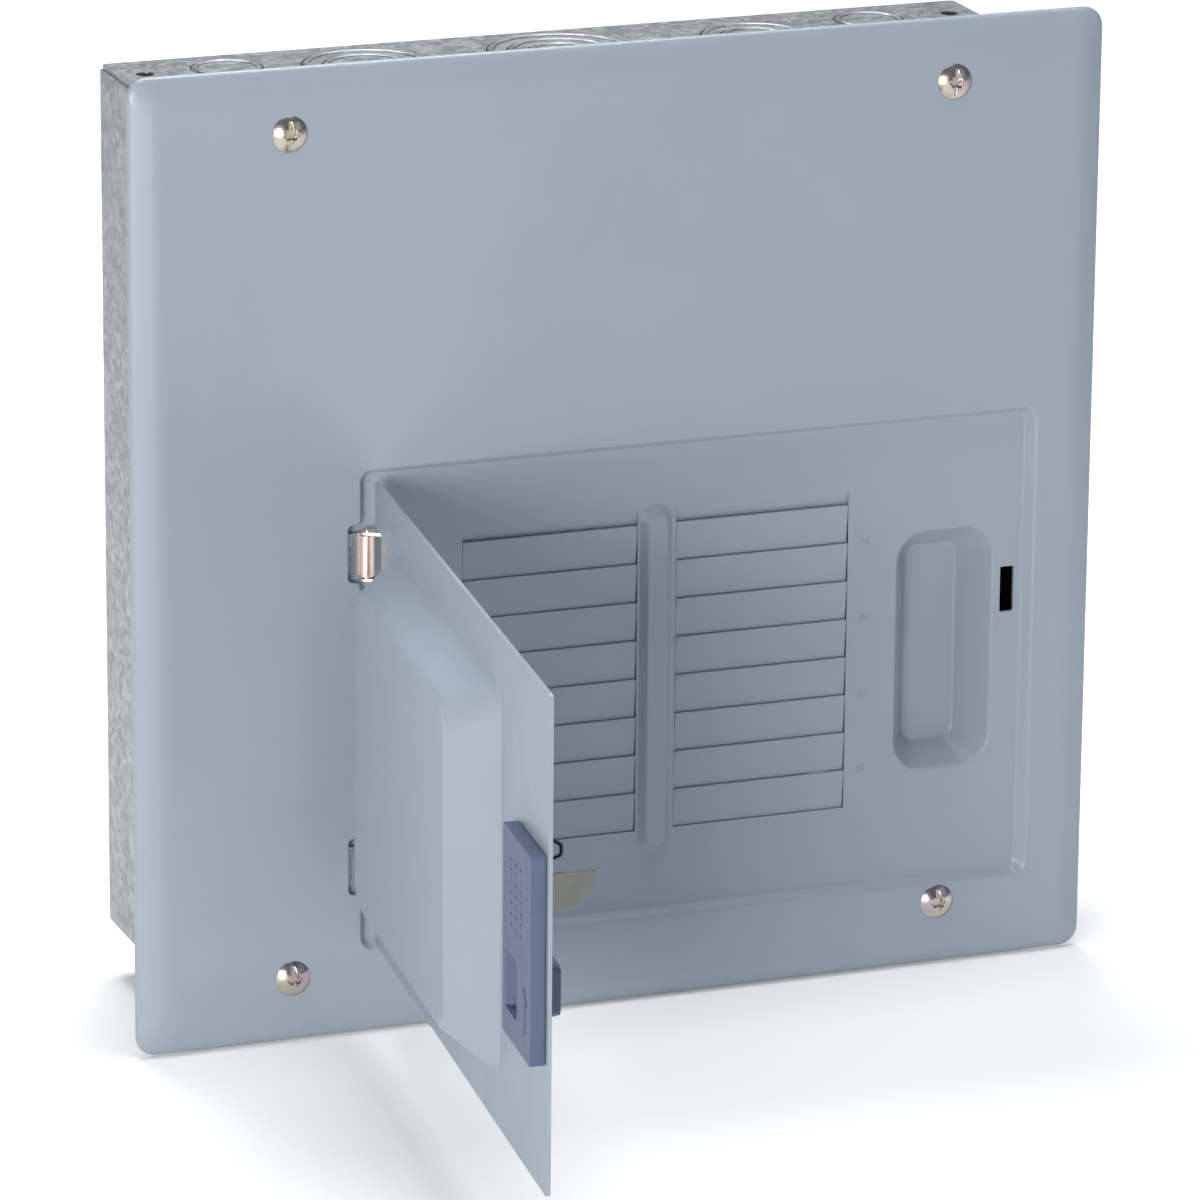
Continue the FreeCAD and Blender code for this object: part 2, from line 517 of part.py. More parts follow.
def tube_path(pts, r_wire, r_bend):
    """Round wire along straight runs joined by arcs."""
    P = [V(*p) for p in pts]
    es = []
    prev = P[0]
    for i in range(1, len(P) - 1):
        a, b, c = P[i - 1], P[i], P[i + 1]
        u = (a - b).normalize()
        w = (c - b).normalize()
        half = u.getAngle(w) / 2.0
        t = r_bend / math.tan(half)
        p1 = b + u * t
        p2 = b + w * t
        bis = (u + w).normalize()
        centre = b + bis * (r_bend / math.sin(half))
        mid = centre - bis * r_bend
        es.append(Part.LineSegment(prev, p1).toShape())
        es.append(Part.Arc(p1, mid, p2).toShape())
        prev = p2
    es.append(Part.LineSegment(prev, P[-1]).toShape())
    path = Part.Wire(es)
    d = (P[1] - P[0]).normalize()
    prof = Part.Wire([Part.Circle(P[0], d, r_wire).toShape()])
    return path.makePipeShell([prof], True, True)


spring = tube_path([(SPR_X, y, z) for (y, z) in sp], SW, 1.3)
save("latch_spring", to_rest(spring))
# hook that holds the spring's upper end, spot welded to the inside of the door
hook = fuse(box(118.2, 124.2, DOOR_IN, DOOR_IN + 0.8, -20.2, -14.6),
            box(119.5, 122.9, DOOR_IN, DOOR_IN + 3.4, -17.2, -16.2),
            box(119.5, 122.9, DOOR_IN + 2.6, DOOR_IN + 3.4, -19.8, -16.2))
hook = hook.cut(spring)
save("spring_hook", to_rest(hook))

# ---------------------------------------------------------------- interior
# raised steel pan on four feet
px0, px1, pz0, pz1 = PAN
plate = box(px0, px1, PAN_Y, PAN_Y + PAN_T, pz0, pz1)
legs = [box(px0, px0 + PAN_T, PAN_Y, BACK, pz0, pz1), box(px1 - PAN_T, px1, PAN_Y, BACK, pz0, pz1)]
feet = []
for (fx, fz) in PAN_FEET:
    if fx < BUS_X:
        feet.append(box(px0 - 15.0, px0 + PAN_T, BACK - PAN_T, BACK, fz - 9, fz + 9))
    else:
        feet.append(box(px1 - PAN_T, px1 + 15.0, BACK - PAN_T, BACK, fz - 9, fz + 9))
pan = fuse(plate, *legs, *feet)
for (fx, fz) in PAN_FEET:
    pan = pan.cut(cyl(2.0, 6, (fx, 1, fz), (0, -1, 0)))
pan = pan.removeSplitter()

# moulded insulating base, with barriers between the stabs
INS = (BUS_X - 34, BUS_X + 34, BUS_Z0, BUS_Z1 - 16)
ins = rr_prism(*INS, 3.0, PAN_Y - 8.0, PAN_Y)
STAB_Z = [TW_TOP - TW_PITCH - 2 * TW_PITCH * k for k in range(4)]
for k in range(5):
    zb = TW_TOP - 2 * TW_PITCH * k
    ins = ins.fuse(box(BUS_X - 15, BUS_X + 15, PAN_Y - 27.0, PAN_Y - 7.9, zb - 1.0, zb + 1.0))
CH_A = (BUS_X - 21.5, BUS_X - 8.5)
CH_B = (BUS_X + 8.5, BUS_X + 21.5)
for (a, b) in (CH_A, CH_B):
    ins = ins.cut(box(a, b, PAN_Y - 9.0, PAN_Y - 4.0, BUS_Z0 + 4, BUS_Z1))
for k in range(4):
    # stab arms pass from each bar to the centre line
    a, b = (CH_A[0] + 1, BUS_X + 12.5) if k % 2 == 0 else (BUS_X - 12.5, CH_B[1] - 1)
    ins = ins.cut(box(a, b, PAN_Y - 9.0, PAN_Y - 4.0, STAB_Z[k] - 6.2, STAB_Z[k] + 6.2))
INS_SCREWS = [(BUS_X - 28, -98.0), (BUS_X + 28, -98.0), (BUS_X - 28, 18.0), (BUS_X + 28, 18.0)]
for (ix, iz) in INS_SCREWS:
    ins = ins.cut(cyl(1.9, 20, (ix, PAN_Y - 12, iz), (0, 1, 0)))
    pan = pan.cut(cyl(1.9, 6, (ix, PAN_Y - 2, iz), (0, 1, 0)))
ins = ins.removeSplitter()
save("interior_pan", pan)
save("insulating_base", ins)


def bus(side):
    """Bus bar with arms and upright stabs at alternate positions."""
    x0, x1 = (CH_A[0] + 0.5, CH_A[1] - 0.5) if side == "a" else (CH_B[0] + 0.5, CH_B[1] - 0.5)
    y0, y1 = PAN_Y - 7.2, PAN_Y - 4.0
    parts = [box(x0, x1, y0, y1, BUS_Z0 + 5, BUS_Z1)]
    for k in range(4):
        if (k % 2 == 0) != (side == "a"):
            continue
        z = STAB_Z[k]
        a, b = (x0, BUS_X + 12) if side == "a" else (BUS_X - 12, x1)
        parts.append(box(a, b, y0, y1, z - 5.5, z + 5.5))
        parts.append(box(BUS_X - 11.5, BUS_X + 11.5, PAN_Y - 24.0, y1, z - 0.8, z + 0.8))
    s = fuse(*parts)
    cx = (x0 + x1) / 2
    s = s.cut(cyl(1.8, 12, (cx, PAN_Y - 12, BUS_Z1 - 8), (0, 1, 0)))
    return s, cx


bus_a, ax = bus("a")
bus_b, bx = bus("b")
# the two bars run in separate channels, so an arm never meets the other bar
for k in range(4):
    z = STAB_Z[k]
    if k % 2 == 0:
        bus_b = bus_b.cut(box(CH_B[0], BUS_X + 12.6, PAN_Y - 30, PAN_Y, z - 6.1, z + 6.1))
    else:
        bus_a = bus_a.cut(box(BUS_X - 12.6, CH_A[1], PAN_Y - 30, PAN_Y, z - 6.1, z + 6.1))
save("bus_bar_a", bus_a.removeSplitter())
save("bus_bar_b", bus_b.removeSplitter())

# main lugs stand on the upper ends of the bars
LUG_W, LUG_D, LUG_H = 15.0, 19.0, 22.0
lug_screws = []
for tag, lx in (("a", ax), ("b", bx)):
    ytop = PAN_Y - 7.2
    lug = box(lx - LUG_W / 2, lx + LUG_W / 2, ytop - LUG_D, ytop, BUS_Z1 - 15, BUS_Z1 + 7)
    lug = lug.cut(cyl(4.7, LUG_H + 4, (lx, ytop - 8.2, BUS_Z1 - 17), (0, 0, 1)))
    lug = lug.cut(cyl(3.0, 12, (lx, ytop - 9.0, BUS_Z1 - 4), (0, -1, 0)))
    lug = lug.cut(cyl(1.8, 12, (lx, ytop + 2, BUS_Z1 - 8), (0, -1, 0)).common(box(lx - 5, lx + 5, ytop - 3.6, ytop + 5, -200, 200)))
    save("main_lug_" + tag, lug)
    sc = cyl(2.99, 8.2, (lx, ytop - 21.4, BUS_Z1 - 4), (0, 1, 0))
    sc = sc.cut(box(lx - 3.1, lx + 3.1, ytop - 21.5, ytop - 19.8, BUS_Z1 - 4.6, BUS_Z1 - 3.4))
    lug_screws.append(sc)
save("main_lug_screws", lug_screws)

# breaker hook rails, one for each column, standing on the pan
for tag, rx, s in (("left", TW_L0 - 0.5, 1), ("right", TW_R1 + 0.5, -1)):
    web = box(min(rx, rx + s * 1.5), max(rx, rx + s * 1.5), PAN_Y - 36.0, PAN_Y, -104.0, 4.0)
    foot = box(min(rx, rx + s * 10), max(rx, rx + s * 10), PAN_Y - 1.5, PAN_Y, -104.0, 4.0)
    hooks = []
    for k in range(8):
        z = TW_TOP - TW_PITCH * (k + 0.5)
        hooks.append(box(min(rx, rx + s * 6.0), max(rx, rx + s * 6.0), PAN_Y - 36.0, PAN_Y - 34.5, z - 3.6, z + 3.6))
    r = fuse(web, foot, *hooks)
    for z in (-94.0, -6.0):
        r = r.cut(cyl(1.7, 6, (rx + s * 6.0, PAN_Y - 3, z), (0, 1, 0)))
    save("breaker_rail_" + tag, r)


# terminal bars
def terminal_bar(x, zr, y_back, n):
    b = rr_prism(x - 6.5, x + 6.5, zr[0], zr[1], 1.0, y_back - 10.0, y_back)
    screws = []
    p = (zr[1] - zr[0] - 34.0) / (n - 1)
    for i in range(n):
        z = zr[0] + 17.0 + p * i
        b = b.cut(cyl(2.6, 16, (x - 8, y_back - 3.8, z), (1, 0, 0)))
        b = b.cut(cyl(1.75, 7, (x, y_back - 11, z), (0, 1, 0)))
        sc = fuse(cyl(1.74, 5.4, (x, y_back - 12.0, z), (0, 1, 0)), cyl(3.4, 2.0, (x, y_back - 13.0, z), (0, 1, 0)))
        sc = sc.cut(box(x - 3.5, x + 3.5, y_back - 13.1, y_back - 12.0, z - 0.5, z + 0.5))
        screws.append(sc)
    return b, screws


def pan_screw(x, z, y_head, length, r=1.9, head=3.6):
    s = fuse(cyl(r - 0.01, length, (x, y_head, z), (0, 1, 0)), cyl(head, 2.0, (x, y_head - 2.0, z), (0, 1, 0)))
    return s.cut(box(x - head, x + head, y_head - 2.1, y_head - 1.1, z - 0.5, z + 0.5))


gb, gs = terminal_bar(GND_X, GND_Z, BACK - 3.0, 8)
gfeet = []
for (gx, gz) in GND_MOUNT:
    gb = gb.fuse(cyl(4.2, 3.0, (gx, BACK, gz), (0, -1, 0)))
    gb = gb.cut(cyl(1.9, 20, (gx, 2, gz), (0, -1, 0)))
    gfeet.append(pan_screw(gx, gz, BACK - 13.0, 13.0 + BOX_T * 0.9, 1.6, 3.4))
save("ground_bar", gb.removeSplitter())
save("ground_bar_screws", gs)

nb, ns = terminal_bar(NEU_X, NEU_Z, BACK - 16.0, 10)
nscrews = []
nins = []
for (nx, nz) in NEU_MOUNT:
    nb = nb.cut(cyl(1.9, 20, (nx, BACK - 14.0, nz), (0, -1, 0)))
    nins.append(fuse(rr_prism(nx - 8.0, nx + 8.0, nz - 7.0, nz + 7.0, 2.0, BACK - 5.0, BACK),
                     cyl(6.0, 16.0, (nx, BACK, nz), (0, -1, 0))).cut(cyl(1.9, 40, (nx, 5, nz), (0, -1, 0))))
    nscrews.append(pan_screw(nx, nz, BACK - 26.0, 26.0 + BOX_T * 0.9, 1.6, 3.4))
save("neutral_bar", nb)
save("neutral_bar_screws", ns)
save("neutral_insulators", nins)

# bonding strap from the neutral bar's lower end to the back wall
bz = NEU_Z[0] - 1.0
strap = fuse(box(NEU_X - 4, NEU_X + 4, BACK - 26.0 - 1.0, BACK - 26.0, NEU_Z[0] - 9.0, NEU_Z[0] + 4.0),
             box(NEU_X - 4, NEU_X + 4, BACK - 27.0, BACK, NEU_Z[0] - 10.0, NEU_Z[0] - 9.0),
             box(NEU_X - 4, NEU_X + 4, BACK - 1.0, BACK, NEU_Z[0] - 21.0, NEU_Z[0] - 9.0))
strap = strap.cut(cyl(1.9, 8, (NEU_X, 2, NEU_Z[0] - 15.5), (0, -1, 0)))
save("bonding_strap", strap.removeSplitter())
bond = pan_screw(NEU_X, NEU_Z[0] - 15.5, BACK - 1.0, 1.0 - 0.01, 1.9, 3.6)

# fixing screws of the interior, all alike
fix = []
for (fx, fz) in PAN_FEET:
    fix.append(pan_screw(fx, fz, BACK - PAN_T, PAN_T + BOX_T * 0.9, 1.6, 3.6))
for (ix, iz) in INS_SCREWS:
    fix.append(pan_screw(ix, iz, PAN_Y - 8.0, 8.0 + PAN_T, 1.9, 3.4))
save("interior_screws", fix)
save("ground_bar_fixings", gfeet)
save("neutral_bar_fixings", nscrews)
save("bonding_screw", bond)
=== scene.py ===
import json
import math

import bmesh
import bpy
from mathutils import Matrix, Vector


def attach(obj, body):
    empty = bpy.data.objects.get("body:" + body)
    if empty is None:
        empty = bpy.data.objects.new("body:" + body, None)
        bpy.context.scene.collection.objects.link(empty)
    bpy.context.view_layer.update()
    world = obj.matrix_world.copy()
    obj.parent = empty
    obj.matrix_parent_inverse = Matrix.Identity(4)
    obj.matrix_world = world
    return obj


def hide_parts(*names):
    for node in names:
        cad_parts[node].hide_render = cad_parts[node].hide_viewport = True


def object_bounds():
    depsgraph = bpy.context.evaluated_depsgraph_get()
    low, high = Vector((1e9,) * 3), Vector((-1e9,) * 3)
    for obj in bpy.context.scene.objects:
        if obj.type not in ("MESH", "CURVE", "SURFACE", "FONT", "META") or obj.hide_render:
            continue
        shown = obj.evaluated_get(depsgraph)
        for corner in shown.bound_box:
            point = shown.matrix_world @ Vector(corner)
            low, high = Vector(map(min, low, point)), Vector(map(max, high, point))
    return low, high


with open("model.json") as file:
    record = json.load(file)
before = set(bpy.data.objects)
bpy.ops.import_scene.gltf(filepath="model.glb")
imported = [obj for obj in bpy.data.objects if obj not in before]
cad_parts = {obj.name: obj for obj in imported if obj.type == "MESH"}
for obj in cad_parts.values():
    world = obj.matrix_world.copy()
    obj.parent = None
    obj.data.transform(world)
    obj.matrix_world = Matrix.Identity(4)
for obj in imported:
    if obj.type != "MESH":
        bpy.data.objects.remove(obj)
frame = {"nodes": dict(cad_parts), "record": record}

lo0, hi0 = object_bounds()
MM = 0.001
PI = math.pi

# ------------------------------------------------------------------ sizes, in mm, as in the CAD model
FLOOR = -81.0
FRONT = -84.2
RIM = -79.6
HALF_W, HALF_H = 161.2, 157.0
REC = (-88.0, 140.6, -129.0, 28.6)       # recess at the cover's face: x0, x1, z0, z1
RECF = (-87.2, 137.7, -127.0, 26.7)      # recess at its floor
HX, HY, OPEN = -86.5, -86.0, 96.3
HINGES = (1.7, -100.8)
BAY_X = -92.0
TW_PITCH, TW_TOP, TW_ROWS = 12.7, 0.9, 8
TW_BOT = TW_TOP - TW_PITCH * TW_ROWS
COLS = {"left": (-53.4, 5.2), "right": (18.3, 77.0)}
RIB = (6.0, 16.8, -108.4, 7.0)
POCK = (94.3, 127.4, -90.4, -10.4)
POCKF = (101.6, 119.6, -84.3, -18.3)
SLOT = (130.3, 135.1, -40.2, -25.0)
SCREWS = [(-110.6, 137.0, 3.0), (109.2, 137.0, -4.0), (-110.6, -135.4, 6.0), (109.2, -135.4, 2.0)]
DOOR = (-86.3, 136.9, -126.2, 25.6)
DOOR_OUT, DOOR_IN = -83.6, -82.4
EMB = (-61.5, 79.0, -110.0, 10.0)
EMBP = (-57.0, 65.0, -101.3, 0.8)
WIN = (102.2, 120.9, -80.2, -55.3)
POST = (117.5, -38.0)
LATCH = (101.4, 134.8, -86.5, -23.0)
CUP = (104.4, 118.6, -78.3, -60.2)
LY0, LY1 = -88.3, -83.9
CUP_END = -76.4


# ------------------------------------------------------------------ mesh helpers
def outline(corners, segs=6):
    """Closed polygon with every corner rounded; corners are (x, z, r), counter-clockwise seen from the front."""
    out = []
    n = len(corners)
    for i, (x, z, r) in enumerate(corners):
        p = Vector((x, z))
        u = (Vector(corners[i - 1][:2]) - p).normalized()
        v = (Vector(corners[(i + 1) % n][:2]) - p).normalized()
        ang = u.angle(v)
        r = max(r, 0.02)
        t = r / math.tan(ang / 2)
        c = p + (u + v).normalized() * (r / math.sin(ang / 2))
        p1, p2 = p + u * t - c, p + v * t - c
        a0, a1 = math.atan2(p1.y, p1.x), math.atan2(p2.y, p2.x)
        d = (a1 - a0 + PI) % (2 * PI) - PI
        out += [(c.x + r * math.cos(a0 + d * k / segs), c.y + r * math.sin(a0 + d * k / segs)) for k in range(segs + 1)]
    return out


def rrect(b, r, g=0.0, segs=8):
    """Rounded rectangle b = (x0, x1, z0, z1), grown by g."""
    x0, x1, z0, z1 = b[0] - g, b[1] + g, b[2] - g, b[3] + g
    r = max(r + g, 0.05)
    return outline([(x0, z0, r), (x1, z0, r), (x1, z1, r), (x0, z1, r)], segs)


def mix(a, b, t):
    return tuple(p + (q - p) * t for p, q in zip(a, b))


def circle(cx, cz, r, n=32, a0=0.0):
    return [(cx + r * math.cos(a0 + 2 * PI * k / n), cz + r * math.sin(a0 + 2 * PI * k / n)) for k in range(n)]


def to_rest(p):
    """A point drawn with the door shut, turned to the stored open pose (mm)."""
    a = math.radians(-OPEN)
    dx, dy = p[0] - HX, p[1] - HY
    return (HX + dx * math.cos(a) - dy * math.sin(a), HY + dx * math.sin(a) + dy * math.cos(a), p[2])


class Surf:
    """Collects rings and faces in mm, with faces towards -Y."""

    def __init__(self):
        self.v, self.f, self.fills = [], [], []

    def pt(self, x, y, z):
        self.v.append((x, y, z))
        return len(self.v) - 1

    def ring(self, pts, y):
        return [self.pt(x, y, z) for x, z in pts]

    def bridge(self, a, b):
        n = len(a)
        for i in range(n):
            j = (i + 1) % n
            self.f.append((a[i], a[j], b[j], b[i]))

    def rings(self, items):
        """items: (points, y) from the outside in. Returns the first and last ring."""
        first = prev = None
        for pts, y in items:
            r = self.ring(pts, y)
            if prev is not None:
                self.bridge(prev, r)
            else:
                first = r
            prev = r
        return first, prev

    def fill(self, loops, normal=(0, -1, 0)):
        self.fills.append((loops, Vector(normal)))

    def build(self, name, xf=None):
        bm = bmesh.new()
        vs = [bm.verts.new(Vector(xf(p) if xf else p) * MM) for p in self.v]
        for f in self.f:
            bm.faces.new([vs[i] for i in f])
        turn = Matrix.Rotation(math.radians(-OPEN), 3, "Z") if xf else Matrix.Identity(3)
        for loops, normal in self.fills:
            want = turn @ normal
            edges = []
            for lp in loops:
                for i in range(len(lp)):
                    a, b = vs[lp[i]], vs[lp[(i + 1) % len(lp)]]
                    edges.append(bm.edges.get((a, b)) or bm.edges.new((a, b)))
            got = bmesh.ops.triangle_fill(bm, use_beauty=True, use_dissolve=False, edges=edges, normal=want)
            faces = [g for g in got["geom"] if isinstance(g, bmesh.types.BMFace)]
            for g in faces:
                g.normal_update()
                if g.normal.dot(want) < 0:
                    g.normal_flip()
        me = bpy.data.meshes.new(name)
        bm.to_mesh(me)
        bm.free()
        o = bpy.data.objects.new(name, me)
        bpy.context.scene.collection.objects.link(o)
        return o


def finish_mesh(o, material, body, replaces=(), solid=None, bevel=0.18, segs=2, angle=38, weld=False):
    me = o.data
    me.materials.clear()
    me.materials.append(material)
    me.polygons.foreach_set("use_smooth", [True] * len(me.polygons))
    if weld:
        w = o.modifiers.new("weld", "WELD")
        w.merge_threshold = 2e-6
    if solid:
        s = o.modifiers.new("sheet", "SOLIDIFY")
        s.thickness = solid * MM
        s.offset = -1
        s.use_even_offset = True
        s.use_quality_normals = True
        s.thickness_clamp = 0.0
    if bevel:
        b = o.modifiers.new("edges", "BEVEL")
        b.width = bevel * MM
        b.segments = segs
        b.limit_method = "ANGLE"
        b.angle_limit = math.radians(angle)
        b.use_clamp_overlap = True
        b.miter_outer = "MITER_ARC"
    wn = o.modifiers.new("normals", "WEIGHTED_NORMAL")
    wn.weight = 50
    wn.keep_sharp = False
    if body:
        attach(o, body)
    if replaces:
        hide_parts(*replaces)
    return o


# ------------------------------------------------------------------ materials
def new_mat(name):
    m = bpy.data.materials.new(name)
    m.use_nodes = True
    nt = m.node_tree
    nt.nodes.clear()
    out = nt.nodes.new("ShaderNodeOutputMaterial")
    b = nt.nodes.new("ShaderNodeBsdfPrincipled")
    nt.links.new(b.outputs["BSDF"], out.inputs["Surface"])
    tc = nt.nodes.new("ShaderNodeTexCoord")
    return m, nt, b, tc.outputs["Object"]


def noise(nt, coord, scale, detail=3.0, rough=0.55, stretch=None):
    if stretch:
        mp = nt.nodes.new("ShaderNodeMapping")
        mp.inputs["Scale"].default_value = stretch
        nt.links.new(coord, mp.inputs["Vector"])
        coord = mp.outputs["Vector"]
    n = nt.nodes.new("ShaderNodeTexNoise")
    n.inputs["Scale"].default_value = scale
    n.inputs["Detail"].default_value = detail
    n.inputs["Roughness"].default_value = rough
    nt.links.new(coord, n.inputs["Vector"])
    return n.outputs["Fac"]


def ramp(nt, fac, stops):
    r = nt.nodes.new("ShaderNodeValToRGB")
    e = r.color_ramp.elements
    while len(e) < len(stops):
        e.new(0.5)
    for el, (p, c) in zip(e, stops):
        el.position = p
        el.color = c if len(c) == 4 else (*c, 1.0)
    nt.links.new(fac, r.inputs["Fac"])
    return r.outputs["Color"]


def rough_range(nt, fac, a, b):
    mr = nt.nodes.new("ShaderNodeMapRange")
    mr.inputs["From Min"].default_value = 0.3
    mr.inputs["From Max"].default_value = 0.7
    mr.inputs["To Min"].default_value = a
    mr.inputs["To Max"].default_value = b
    nt.links.new(fac, mr.inputs["Value"])
    return mr.outputs["Result"]


def bump(nt, bsdf, height, strength, dist, normal=None):
    b = nt.nodes.new("ShaderNodeBump")
    b.inputs["Strength"].default_value = strength
    b.inputs["Distance"].default_value = dist
    nt.links.new(height, b.inputs["Height"])
    if normal is not None:
        nt.links.new(normal, b.inputs["Normal"])
    nt.links.new(b.outputs["Normal"], bsdf.inputs["Normal"])
    return b.outputs["Normal"]


def paint_material(name, base, lift=1.0, rough=(0.36, 0.46)):
    """Baked enamel on steel: even colour with a faint cloudiness and orange peel."""
    m, nt, b, co = new_mat(name)
    c0 = tuple(x * 0.975 for x in base)
    c1 = tuple(min(1, x * 1.02) for x in base)
    cloud = noise(nt, co, 22.0, 4.0, 0.6)
    nt.links.new(ramp(nt, cloud, [(0.30, c0), (0.52, base), (0.72, c1)]), b.inputs["Base Color"])
    nt.links.new(rough_range(nt, noise(nt, co, 60.0, 3.0), *rough), b.inputs["Roughness"])
    bump(nt, b, noise(nt, co, 620.0, 2.0, 0.5), 0.09, 0.00012)
    b.inputs["Specular IOR Level"].default_value = 0.5
    b.inputs["Coat Weight"].default_value = 0.12
    b.inputs["Coat Roughness"].default_value = 0.22
    return m


def galvanised_material(name):
    """Hot-dip galvanised sheet with a fine spangle."""
    m, nt, b, co = new_mat(name)
    v1 = nt.nodes.new("ShaderNodeTexVoronoi")
    v1.inputs["Scale"].default_value = 430.0
    v1.inputs["Randomness"].default_value = 1.0
    warp = nt.nodes.new("ShaderNodeTexNoise")
    warp.inputs["Scale"].default_value = 300.0
    warp.inputs["Detail"].default_value = 2.0
    nt.links.new(co, warp.inputs["Vector"])
    off = nt.nodes.new("ShaderNodeVectorMath")
    off.operation = "MULTIPLY_ADD"
    off.inputs[1].default_value = (0.002, 0.002, 0.002)
    nt.links.new(warp.outputs["Color"], off.inputs[0])
    nt.links.new(co, off.inputs[2])
    nt.links.new(off.outputs["Vector"], v1.inputs["Vector"])
    sep = nt.nodes.new("ShaderNodeSeparateColor")
    nt.links.new(v1.outputs["Color"], sep.inputs["Color"])
    fine = noise(nt, co, 900.0, 3.0, 0.6)
    mixn = nt.nodes.new("ShaderNodeMix")
    mixn.data_type = "FLOAT"
    mixn.inputs[0].default_value = 0.45
    nt.links.new(sep.outputs["Red"], mixn.inputs[2])
    nt.links.new(fine, mixn.inputs[3])
    nt.links.new(ramp(nt, mixn.outputs[0], [(0.1, (0.20, 0.22, 0.23)), (0.5, (0.25, 0.27, 0.28)), (0.9, (0.32, 0.34, 0.345))]), b.inputs["Base Color"])
    nt.links.new(rough_range(nt, sep.outputs["Green"], 0.34, 0.52), b.inputs["Roughness"])
    # each crystal reflects in its own direction
    geo = nt.nodes.new("ShaderNodeNewGeometry")
    tilt = nt.nodes.new("ShaderNodeVectorMath")
    tilt.operation = "SUBTRACT"
    tilt.inputs[1].default_value = (0.5, 0.5, 0.5)
    nt.links.new(v1.outputs["Color"], tilt.inputs[0])
    add = nt.nodes.new("ShaderNodeVectorMath")
    add.operation = "MULTIPLY_ADD"
    add.inputs[1].default_value = (0.13, 0.13, 0.13)
    nt.links.new(tilt.outputs["Vector"], add.inputs[0])
    nt.links.new(geo.outputs["Normal"], add.inputs[2])
    nrm = nt.nodes.new("ShaderNodeVectorMath")
    nrm.operation = "NORMALIZE"
    nt.links.new(add.outputs["Vector"], nrm.inputs[0])
    bump(nt, b, fine, 0.10, 0.00015, nrm.outputs["Vector"])
    b.inputs["Metallic"].default_value = 0.6
    return m


def metal_material(name, stops, rough=(0.18, 0.28), scale=60.0, grain=500.0, stretch=None, bumpy=0.05):
    """Plated metal whose tint drifts over the surface, as chromate films do."""
    m, nt, b, co = new_mat(name)
    nt.links.new(ramp(nt, noise(nt, co, scale, 2.0, 0.5), stops), b.inputs["Base Color"])
    g = noise(nt, co, grain, 3.0, 0.6, stretch)
    nt.links.new(rough_range(nt, g, *rough), b.inputs["Roughness"])
    bump(nt, b, g, bumpy, 0.0001)
    b.inputs["Metallic"].default_value = 1.0
    return m


def plastic_material(name, base, rough=(0.42, 0.55), vary=0.05, bumpy=0.08, grain=700.0):
    m, nt, b, co = new_mat(name)
    c0 = tuple(x * (1 - vary) for x in base)
    c1 = tuple(min(1, x * (1 + vary)) for x in base)
    nt.links.new(ramp(nt, noise(nt, co, 90.0, 3.0), [(0.3, c0), (0.7, c1)]), b.inputs["Base Color"])
    g = noise(nt, co, grain, 2.0, 0.5)
    nt.links.new(rough_range(nt, g, *rough), b.inputs["Roughness"])
    bump(nt, b, g, bumpy, 0.0001)
    return m


def hinge_leaf_material(name):
    """Zinc plate, lilac grey where the leaf tucks under the cover, with a near-black painted shadow line at the tuck.
    """
    m, nt, b, co = new_mat(name)
    sp = nt.nodes.new("ShaderNodeSeparateXYZ")
    nt.links.new(co, sp.inputs["Vector"])
    mr = nt.nodes.new("ShaderNodeMapRange")
    mr.inputs["From Min"].default_value = -0.0893
    mr.inputs["From Max"].default_value = -0.0889
    nt.links.new(sp.outputs["X"], mr.inputs["Value"])
    # the near-black stop at 0.45 is painted shadow in the gap where the leaf goes under the cover
    nt.links.new(ramp(nt, mr.outputs["Result"], [(0.0, (0.40, 0.43, 0.50)), (0.45, (0.07, 0.07, 0.08)), (0.6, (0.52, 0.44, 0.40)), (1.0, (0.80, 0.66, 0.60))]), b.inputs["Base Color"])
    g = noise(nt, co, 900.0, 3.0, 0.6, (1.0, 1.0, 0.08))
    nt.links.new(rough_range(nt, g, 0.24, 0.34), b.inputs["Roughness"])
    bump(nt, b, g, 0.05, 0.0001)
    b.inputs["Metallic"].default_value = 0.85
    return m


PAINT = (0.250, 0.297, 0.350)
M = {
    "paint": paint_material("paint_grey", PAINT),
    "galvanised": galvanised_material("galvanised_spangle"),
    "plated_steel": metal_material("yellow_zinc", [(0.28, (0.14, 0.165, 0.155)), (0.48, (0.18, 0.185, 0.165)), (0.60, (0.19, 0.17, 0.175)), (0.75, (0.15, 0.175, 0.165))],
                                   (0.26, 0.40), 95.0),
    "hinge": metal_material("hinge_zinc", [(0.3, (0.93, 0.78, 0.69)), (0.7, (0.84, 0.75, 0.71))], (0.22, 0.32), 70.0, 900.0, (1.0, 1.0, 0.08)),
    "hinge_leaf": hinge_leaf_material("hinge_leaf_zinc_painted_shadow_line"),
    "zinc_steel": metal_material("zinc_clear", [(0.25, (0.52, 0.49, 0.34)), (0.5, (0.52, 0.46, 0.44)), (0.62, (0.50, 0.38, 0.41)), (0.8, (0.46, 0.48, 0.37))],
                                 (0.17, 0.27), 160.0),
    "green_screw": plastic_material("green_screw", (0.03, 0.22, 0.07), (0.25, 0.35)),
    "latch_plastic": plastic_material("latch_blue_grey", (0.068, 0.094, 0.172), (0.40, 0.52)),
    "spring_wire": metal_material("spring_black", [(0.3, (0.035, 0.036, 0.04)), (0.7, (0.06, 0.062, 0.07))], (0.35, 0.5), 200.0),
    "black_plastic": plastic_material("phenolic_black", (0.030, 0.030, 0.033), (0.38, 0.5), 0.15),
    "white_plastic": plastic_material("insulator_white", (0.78, 0.76, 0.70), (0.40, 0.5)),
    "tin_aluminium": metal_material("tin_plate", [(0.3, (0.72, 0.73, 0.74)), (0.7, (0.84, 0.84, 0.83))], (0.25, 0.40), 80.0, 800.0, (1.0, 1.0, 0.1)),
}


